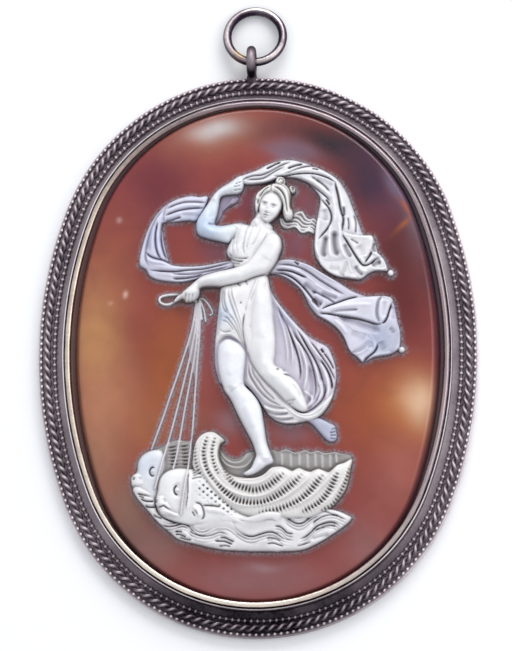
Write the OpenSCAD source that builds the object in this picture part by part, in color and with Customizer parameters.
// Oval cameo pendant, lying on its back with the carved face up.
// +Y points to the hanging ring, +X to the right of the face, z = 0 is the back of the setting.
// The origin is on the surface that the pendant lies on, under the middle of its whole length.

/* [Setting outline] */
// Half width of the setting
half_w = 26.4; // [25:0.1:29]
// Half height of the setting, without the loop
half_h = 34.1; // [31:0.1:38]

/* [Back plate] */
// Thickness of the back plate
plate_t = 1.0; // [0.7:0.05:1.3]
// Width of the ledge that carries the cameo
ledge_w = 1.9; // [1.2:0.1:3]

/* [Wires on the plate] */
// Radius of the outer beaded wire
outer_wire_r = 0.24; // [0.2:0.01:0.27]
// Radius of the rope wire
rope_r = 0.48; // [0.4:0.01:0.5]
// Radius of the inner beaded wire
inner_wire_r = 0.34; // [0.28:0.01:0.36]
// Plate left outside the outer beaded wire
edge_margin = 0.11; // [0.05:0.01:0.2]
// Space between neighbouring wires
wire_gap = 0.05; // [0.03:0.01:0.1]
// Share of a wire's radius that is sunk in solder
solder_sink = 0.18; // [0.1:0.01:0.4]

/* [Collet] */
// Flat channel between the inner beaded wire and the collet
channel_w = 0.75; // [0.5:0.01:1]
// Thickness of the collet wall
wall_t = 0.6; // [0.45:0.01:0.8]
// Thickness of the thin edge that stands outside the lip
edge_t = 0.16; // [0.1:0.01:0.2]
// Radius of the rounded lip
lip_r = 0.33; // [0.25:0.01:0.4]

/* [Cameo] */
// Clearance between the cameo and the metal
seat_gap = 0.05; // [0.03:0.01:0.1]
// Height of the cameo's upright edge
girdle_t = 1.4; // [1:0.05:1.8]
// Height of the crown of the ground above the girdle
crown_h = 2.15; // [1.9:0.05:3]
// Radius of the domed ground
dome_r = 250; // [230:1:320]
// Thickness of the shell over the dished back
shell_t = 2.6; // [2:0.05:2.9]
// Width of the flat rim left round the dished back
dish_margin = 3; // [2.5:0.1:5]

/* [Relief] */
// Clear ground between the setting's edge and the side of the carver's grid
art_side = 4.68; // [4.4:0.02:5]
// Clear ground between the setting's edge and the end of the carver's grid
art_end = 4.38; // [4:0.02:5]
// Distance from the setting's middle down to the middle of the carver's grid
art_drop = 0.8; // [0:0.05:1.5]
// Height of reins and of the far wall of the shell
faint_h = 0.45; // [0.3:0.05:0.6]
// Height of the veils, the far dolphin and the trailing foot
low_h = 0.85; // [0.7:0.05:1]
// Height of the skirt and the waves
cloth_h = 1.2; // [1.05:0.05:1.35]
// Height of the near side of the shell and the near dolphin
near_h = 1.5; // [1.4:0.05:1.6]
// Height of the trunk, the thigh and the standing leg
body_h = 1.8; // [1.65:0.05:1.95]
// Height of the crossing arm, the head and the near snout
top_h = 2.2; // [2:0.05:2.5]
// Width of a rein
rein_w = 0.3; // [0.24:0.02:0.4]

/* [Loop and hanging ring] */
// Radius of the loop's centre line
loop_ring_r = 1.4; // [1.3:0.05:1.7]
// Radius of the loop's wire
loop_wire_r = 0.55; // [0.45:0.01:0.58]
// Distance from the setting's edge to the middle of the loop's hole
loop_reach = 1.74; // [1.6:0.02:1.9]
// Length of the loop's solder foot on the plate
foot_len = 1.1; // [0.8:0.1:2]
// Sideways place of the loop
loop_x = -0.68; // [-1:0.02:0]
// Sideways place of the hanging ring
ring_x = -0.3; // [-0.9:0.02:-0.1]
// Radius of the hanging ring's centre line
ring_r = 3.375; // [3:0.05:5]
// Radius of the hanging ring's wire
ring_wire_r = 0.525; // [0.4:0.01:0.56]
// How low the ring's wire lies in the hole of the loop
ring_drop = 0.2; // [0:0.01:0.22]

/* [Hidden] */
$fn = 96;
eps = 0.02;

// The oval is four tangent arcs: two ends about (0, +-end_y) and two sides about (+-side_x, 0).
// They meet on the lines through those centres. The lines' direction has short decimals, and the
// distance between the centres is a whole number of fine steps, so that the arcs meet exactly.
join_dir = [0.936, 0.352];
fine_step = 0.0125;
function whole_steps(size, step) = round(size / step) * step;
edge_w = whole_steps(half_w, 0.0001);
centres = whole_steps((half_h - half_w) / (join_dir[0] + join_dir[1] - 1), fine_step);
side_x = centres * join_dir[0];
end_y = centres * join_dir[1];
side_r = edge_w + side_x;
end_r = side_r - centres;
edge_h = end_r + end_y;
join_angle = atan2(join_dir[1], join_dir[0]);
wedge_reach = 10 * round(0.3 * edge_h);

// Offsets are measured inwards from the setting's outer edge.
outer_wire_off = edge_margin + outer_wire_r;
rope_off = outer_wire_off + outer_wire_r + wire_gap + rope_r;
inner_wire_off = rope_off + rope_r + wire_gap + inner_wire_r;
wall_off = inner_wire_off + inner_wire_r + channel_w;
cameo_off = wall_off + wall_t + seat_gap;
ledge_off = cameo_off + ledge_w;

// Heights above the back of the setting.
cameo_z = plate_t + seat_gap;
girdle_z = cameo_z + girdle_t;
crown_z = girdle_z + crown_h;
dome_z = crown_z - dome_r;
lip_z = girdle_z + (lip_r + seat_gap) * sqrt(2);
loop_z = loop_ring_r + loop_wire_r + eps;
ring_pivot_z = loop_z - ring_drop;
ring_pivot_y = edge_h + loop_reach;
ring_slope = asin((ring_pivot_z - ring_wire_r - eps) / (2 * ring_r));
ring_far_y = ring_pivot_y + 2 * ring_r * cos(ring_slope) + ring_wire_r;

// The setting is drawn about its own middle, then everything moves so that the length is centred.
middle_y = (edge_h - ring_far_y) / 2;

// The relief is drawn on a carver's grid: thousandths of these half sizes about a low middle.
art_w = edge_w - art_side;
art_h = edge_h - art_end;
relief_foot_z = girdle_z - 10 * eps;
relief_top_z = crown_z + top_h + 1;

// One arc of the oval: the section is drawn as (offset inwards, height), turned about the
// arc's centre and cut to the wedge between its two joins.
module arc_sweep(radius, wedge) {
    intersection() {
        rotate_extrude()
            translate([radius, 0])
                mirror([1, 0])
                    children();
        translate([0, 0, -1])
            linear_extrude(relief_top_z + 1)
                polygon(wedge * wedge_reach);
    }
}

module oval_sweep() {
    low_join = [join_dir[0], -join_dir[1]];
    far_join = [-join_dir[0], join_dir[1]];
    for (turn = [0, 180]) {
        rotate([0, 0, turn]) {
            translate([-side_x, 0, 0])
                arc_sweep(side_r, [[0, 0], low_join, join_dir]) children();
            translate([0, end_y, 0])
                arc_sweep(end_r, [[0, 0], join_dir, [0, 1], far_join]) children();
        }
    }
}

// Points of the oval at an inward offset, anticlockwise from its right side.
function quarter_points(off, steps) = concat(
    [for (i = [0 : steps - 1]) let (a = join_angle * i / steps)
        [(side_r - off) * cos(a) - side_x, (side_r - off) * sin(a)]],
    [for (i = [0 : steps - 1]) let (a = join_angle + (90 - join_angle) * i / steps)
        [(end_r - off) * cos(a), end_y + (end_r - off) * sin(a)]]);
function oval_points(off, steps) = let (q = quarter_points(off, steps), n = len(q)) concat(
    q,
    [[0, edge_h - off]],
    [for (i = [n - 1 : -1 : 0]) [-q[i][0], q[i][1]]],
    [for (i = [1 : n - 1]) [-q[i][0], -q[i][1]]],
    [[0, off - edge_h]],
    [for (i = [n - 1 : -1 : 1]) [q[i][0], -q[i][1]]]);

// Carver's grid to millimetres.
function on_grid(points) = [for (p = points) [p[0] * art_w / 1000, p[1] * art_h / 1000 - art_drop]];

// A closed outline rounded through its points, with one point added on each curved stretch.
function rounded(p) = let (n = len(p)) [for (i = [0 : n - 1], half = [0, 1])
    half == 0 ? p[i] : (9 * (p[i] + p[(i + 1) % n]) - p[(i + n - 1) % n] - p[(i + 2) % n]) / 16];

// A strip of even width along a line of points.
function along(p, i) = let (a = p[max(i - 1, 0)], b = p[min(i + 1, len(p) - 1)]) (b - a) / norm(b - a);
function strip(p, w) = concat(
    [for (i = [0 : len(p) - 1]) let (d = along(p, i)) p[i] + [-d[1], d[0]] * w / 2],
    [for (i = [len(p) - 1 : -1 : 0]) let (d = along(p, i)) p[i] - [-d[1], d[0]] * w / 2]);

// Outlines of the carving, chosen by hand on the carver's grid.
left_veil = [
    [-262, 652], [-310, 657], [-360, 661], [-410, 656], [-460, 642], [-505, 620], [-548, 588],
    [-585, 545], [-612, 497], [-632, 448], [-645, 402], [-642, 372], [-608, 356], [-588, 330],
    [-545, 314], [-480, 305], [-420, 302], [-375, 305], [-300, 318], [-200, 338], [-120, 350],
    [-110, 385], [-160, 387], [-230, 377], [-300, 369], [-380, 368], [-440, 371], [-474, 382],
    [-494, 425], [-510, 478], [-518, 530], [-508, 550], [-440, 553], [-370, 556], [-320, 560]];
upper_veil = [
    [-95, 736], [-50, 750], [0, 764], [50, 783], [100, 797], [150, 805], [200, 806], [250, 797],
    [300, 785], [350, 770], [400, 750], [450, 724], [482, 693], [510, 655], [532, 612], [552, 570],
    [572, 532], [596, 492], [642, 487], [656, 468], [668, 430], [678, 412], [702, 394], [718, 368],
    [726, 344], [708, 338], [662, 340], [622, 328], [580, 306], [520, 306], [452, 315], [410, 328],
    [376, 347], [346, 373], [326, 402], [318, 440], [320, 480], [330, 530], [342, 585], [352, 638],
    [334, 666], [300, 695], [258, 716], [208, 728], [150, 731], [92, 715], [40, 705], [-52, 702],
    [-80, 712]];
train = [
    [70, 352], [112, 384], [180, 388], [240, 371], [300, 345], [350, 318], [400, 290], [450, 262],
    [502, 238], [560, 228], [620, 235], [680, 240], [735, 232], [757, 213], [767, 178], [778, 132],
    [791, 98], [794, 62], [786, 25], [745, 1], [690, -8], [640, -15], [584, -33], [556, -14],
    [524, 4], [504, 24], [487, 58], [463, 88], [430, 114], [385, 138], [340, 156], [308, 182],
    [286, 206], [268, 238], [246, 265], [206, 292], [158, 317], [110, 330], [70, 330]];
skirt = [
    [-184, 290], [-100, 320], [0, 335], [64, 330], [76, 290], [92, 255], [112, 225], [150, 190],
    [200, 146], [250, 106], [300, 73], [350, 50], [394, 32], [418, 0], [435, -38], [444, -78],
    [440, -116], [428, -156], [402, -204], [370, -237], [336, -256], [292, -269], [240, -277],
    [190, -281], [142, -276], [100, -263], [68, -243], [40, -215], [10, -180], [-30, -142],
    [-70, -118], [-150, -110], [-192, -118], [-212, -85], [-226, -40], [-229, 10], [-225, 60],
    [-218, 110], [-210, 170], [-200, 230]];
thigh = [
    [-20, 300], [30, 322], [58, 312], [76, 268], [94, 215], [105, 150], [113, 100], [117, 50],
    [115, 0], [110, -38], [150, -54], [200, -82], [236, -112], [262, -150], [282, -190], [290, -222],
    [262, -236], [220, -226], [170, -202], [130, -172], [88, -140], [42, -108], [4, -74], [-26, -38],
    [-46, 0], [-60, 60], [-66, 120], [-60, 180], [-44, 240]];
standing_leg = [
    [-206, 40], [-213, -8], [-209, -50], [-199, -90], [-184, -124], [-172, -148], [-148, -172],
    [-124, -206], [-100, -245], [-74, -282], [-48, -318], [-24, -352], [-8, -382], [0, -405],
    [-13, -430], [-30, -456], [-62, -470], [-72, -482], [-40, -487], [0, -478], [32, -464],
    [62, -448], [92, -438], [98, -424], [84, -398], [70, -368], [61, -335], [54, -300], [45, -258],
    [34, -218], [10, -180], [-22, -150], [-54, -126], [-60, -100], [-54, -50], [-48, 0], [-62, 28],
    [-92, 50], [-130, 65], [-165, 67]];
back_foot = [
    [270, -262], [320, -250], [362, -258], [404, -274], [434, -286], [440, -306], [444, -334],
    [430, -350], [400, -352], [370, -335], [340, -310], [306, -282]];
trunk = [
    [8, 600], [-6, 560], [-24, 536], [-62, 538], [-120, 542], [-140, 520], [-136, 474], [-150, 452],
    [-163, 428], [-158, 408], [-142, 392], [-128, 372], [-100, 330], [-20, 312], [60, 318],
    [92, 348], [118, 378], [136, 406], [149, 436], [148, 462], [134, 486], [110, 506], [86, 520],
    [76, 533], [84, 550], [110, 575]];
raised_arm = [
    [-60, 538], [-110, 543], [-165, 536], [-224, 538], [-213, 580], [-204, 615], [-194, 652],
    [-150, 662], [-98, 664], [-74, 676], [-64, 700], [-66, 722], [-52, 744], [-100, 738],
    [-150, 713], [-200, 690], [-236, 664], [-268, 626], [-300, 590], [-325, 560], [-334, 530],
    [-328, 504], [-308, 489], [-262, 476], [-200, 465], [-150, 458], [-128, 472], [-90, 490]];
crossing_arm = [
    [60, 490], [100, 500], [134, 482], [146, 455], [146, 430], [134, 404], [116, 376], [90, 346],
    [60, 326], [0, 311], [-50, 296], [-110, 284], [-180, 276], [-290, 273], [-303, 252],
    [-322, 232], [-350, 216], [-384, 214], [-402, 230], [-450, 214], [-440, 236], [-396, 264],
    [-364, 284], [-334, 303], [-298, 322], [-255, 333], [-200, 343], [-140, 352], [-95, 362],
    [-58, 376], [-30, 398], [0, 430], [30, 462]];
head = [
    [4, 600], [-2, 634], [8, 655], [30, 666], [58, 680], [88, 690], [104, 716], [126, 729],
    [152, 727], [168, 700], [188, 690], [212, 690], [222, 672], [206, 652], [192, 640], [191, 605],
    [182, 580], [150, 562], [124, 558], [102, 546], [76, 540], [50, 548], [20, 572]];
locks = [
    [150, 600], [190, 575], [230, 570], [270, 552], [310, 547], [330, 522], [318, 500], [280, 506],
    [240, 500], [205, 518], [160, 526], [132, 540], [120, 570]];
shell_far = [
    [-200, -372], [-168, -398], [-130, -414], [-92, -414], [-60, -394], [-20, -384], [40, -380],
    [100, -378], [124, -388], [165, -378], [215, -392], [268, -382], [300, -391], [340, -384],
    [375, -395], [430, -390], [465, -398], [508, -400], [527, -414], [516, -440], [440, -490],
    [300, -500], [100, -500], [-80, -510], [-180, -480], [-215, -420]];
shell_near = [
    [-166, -345], [-190, -325], [-220, -310], [-252, -306], [-290, -315], [-320, -336], [-339, -370],
    [-346, -415], [-340, -460], [-270, -540], [-150, -620], [0, -660], [150, -660], [280, -660],
    [360, -640], [420, -610], [455, -582], [490, -545], [508, -505], [520, -460], [526, -420],
    [480, -435], [440, -446], [408, -468], [388, -472], [340, -459], [300, -471], [270, -466],
    [235, -455], [200, -466], [170, -458], [140, -449], [90, -451], [66, -462], [36, -482],
    [-10, -492], [-75, -491], [-122, -484], [-162, -466], [-188, -437], [-201, -405], [-200, -380],
    [-186, -358]];
far_dolphin = [
    [-655, -462], [-651, -432], [-636, -406], [-612, -389], [-580, -378], [-548, -374],
    [-515, -363], [-480, -346], [-430, -336], [-380, -342], [-346, -352], [-340, -470],
    [-420, -520], [-520, -580], [-570, -600], [-640, -560], [-676, -532], [-687, -502], [-678, -478]];
near_dolphin = [
    [-541, -545], [-539, -518], [-529, -494], [-508, -474], [-478, -460], [-440, -452],
    [-400, -452], [-350, -455], [-302, -454], [-262, -470], [-228, -496], [-190, -535],
    [-150, -575], [-106, -612], [-58, -636], [0, -648], [-40, -672], [-150, -690], [-300, -690],
    [-420, -672], [-520, -645], [-548, -606], [-552, -575]];
near_snout = [
    [-549, -596], [-545, -572], [-526, -558], [-500, -560], [-480, -576], [-460, -600],
    [-440, -620], [-410, -632], [-400, -650], [-430, -656], [-470, -646], [-512, -640],
    [-532, -620]];
waves = [
    [-676, -532], [-640, -520], [-560, -560], [-540, -620], [-460, -665], [-300, -670],
    [-150, -660], [-60, -645], [0, -636], [50, -626], [110, -626], [170, -640], [240, -645],
    [300, -632], [350, -622], [400, -618], [450, -626], [495, -640], [522, -652], [514, -668],
    [488, -686], [450, -706], [400, -730], [350, -752], [300, -770], [245, -784], [150, -789],
    [0, -788], [-100, -785], [-180, -780], [-250, -772], [-330, -757], [-390, -745], [-435, -733],
    [-475, -708], [-520, -680], [-560, -650], [-600, -615], [-640, -582], [-665, -556]];
reins = [
    [[-330, 215], [-346, 130], [-370, 60], [-396, 0], [-432, -80], [-470, -160], [-504, -235],
     [-536, -300], [-572, -372]],
    [[-322, 215], [-332, 120], [-348, 50], [-364, -10], [-392, -95], [-422, -185], [-452, -270],
     [-482, -350], [-512, -430], [-552, -535]],
    [[-315, 215], [-322, 100], [-337, 0], [-356, -80], [-376, -160], [-396, -240], [-412, -310],
     [-432, -395], [-452, -452]],
    [[-308, 215], [-309, 100], [-319, 0], [-327, -80], [-336, -180], [-346, -290], [-360, -390],
     [-374, -470], [-392, -560], [-408, -640]]];
veil_pearls = [[740, 333], [798, 20]];
pearl_r = 0.4;

// Carved shapes of one height: upright walls under a top that follows the dome.
module raised(height, outlines) {
    intersection() {
        translate([0, 0, dome_z])
            sphere(r = dome_r + height, $fn = 200);
        for (outline = outlines)
            translate([0, 0, relief_foot_z])
                linear_extrude(relief_top_z - relief_foot_z)
                    polygon(rounded(on_grid(outline)));
    }
}

module raised_reins() {
    intersection() {
        translate([0, 0, dome_z])
            sphere(r = dome_r + faint_h, $fn = 200);
        for (line = reins)
            translate([0, 0, relief_foot_z])
                linear_extrude(relief_top_z - relief_foot_z)
                    polygon(strip(on_grid(line), rein_w));
    }
}

module pearls() {
    for (p = on_grid(veil_pearls))
        translate([p[0], p[1], dome_z + sqrt(pow(dome_r, 2) - pow(norm(p), 2)) + pearl_r / 2])
            sphere(r = pearl_r, $fn = 32);
}

module relief() {
    raised_reins();
    raised(faint_h, [shell_far]);
    raised(low_h, [left_veil, upper_veil, train, far_dolphin, back_foot]);
    raised(cloth_h, [skirt, waves, locks]);
    raised(near_h, [shell_near, near_dolphin]);
    raised(body_h, [trunk, raised_arm, thigh, standing_leg]);
    raised(top_h, [crossing_arm, head, near_snout]);
    pearls();
}

// Ground of the cameo: an upright girdle, a bevel at 45 degrees and a dome.
module ground() {
    rise = crown_h + 0.1;
    intersection() {
        translate([0, 0, dome_z])
            sphere(r = dome_r, $fn = 200);
        union() {
            oval_sweep()
                polygon([
                    [cameo_off, cameo_z], [cameo_off, girdle_z], [cameo_off + rise, girdle_z + rise],
                    [cameo_off + rise + 1, girdle_z + rise], [cameo_off + rise + 1, cameo_z]]);
            translate([0, 0, cameo_z])
                linear_extrude(girdle_t + rise)
                    polygon(oval_points(cameo_off + rise + 0.5, 5));
        }
    }
}

// Hollow of the back, which follows the dome.
module dished_back() {
    intersection() {
        translate([0, 0, dome_z])
            sphere(r = dome_r - shell_t, $fn = 200);
        translate([0, 0, -1])
            linear_extrude(crown_z)
                polygon(oval_points(cameo_off + dish_margin, 6));
    }
}

module cameo() {
    color("sienna")
        difference() {
            union() {
                ground();
                relief();
            }
            dished_back();
        }
}

// Keys inside the plate tie the four arcs together where they meet.
module keys() {
    reach = end_r - ledge_off / 2;
    for (x = [-1, 1], y = [-1, 1])
        translate([x * join_dir[0] * reach, y * (end_y + join_dir[1] * reach), plate_t / 4])
            cylinder(r = ledge_off / 4, h = plate_t / 2);
}

// Section of the setting: plate and ledge, three wires, collet wall, thin edge and lip.
module setting_section() {
    square([ledge_off, plate_t]);
    translate([outer_wire_off, plate_t + outer_wire_r * (1 - solder_sink)])
        circle(outer_wire_r, $fn = 32);
    translate([rope_off, plate_t + rope_r * (1 - solder_sink)])
        circle(rope_r, $fn = 32);
    translate([inner_wire_off, plate_t + inner_wire_r * (1 - solder_sink)])
        circle(inner_wire_r, $fn = 32);
    translate([wall_off, plate_t - eps])
        square([wall_t, lip_z - lip_r / 2 - plate_t + eps]);
    translate([wall_off, plate_t - eps])
        square([edge_t, lip_z - plate_t + eps]);
    translate([cameo_off, lip_z])
        circle(lip_r, $fn = 32);
}

// Round loop on edge, with the solder foot that holds it to the plate.
module loop() {
    foot_z = loop_z - loop_ring_r + loop_wire_r;
    reach = loop_reach - loop_ring_r + 10 * eps;
    translate([loop_x, ring_pivot_y, loop_z])
        rotate([0, 90, 0])
            rotate_extrude()
                translate([loop_ring_r, 0])
                    circle(loop_wire_r, $fn = 32);
    translate([loop_x, edge_h - foot_len, foot_z])
        rotate([-90, 0, 0])
            cylinder(r = loop_wire_r - eps, h = foot_len + reach, $fn = 32);
}

module setting() {
    color("dimgray")
        union() {
            oval_sweep() setting_section();
            keys();
            loop();
        }
}

// The ring's near side lies in the loop, and its far side rests on the surface below.
module hanging_ring() {
    color("gray")
        translate([ring_x, ring_pivot_y, ring_pivot_z])
            rotate([-ring_slope, 0, 0])
                translate([0, ring_r, 0])
                    rotate_extrude()
                        translate([ring_r, 0])
                            circle(ring_wire_r, $fn = 32);
}

module placed() {
    translate([0, middle_y, 0])
        children();
}

placed() setting();
placed() cameo();
placed() hanging_ring();
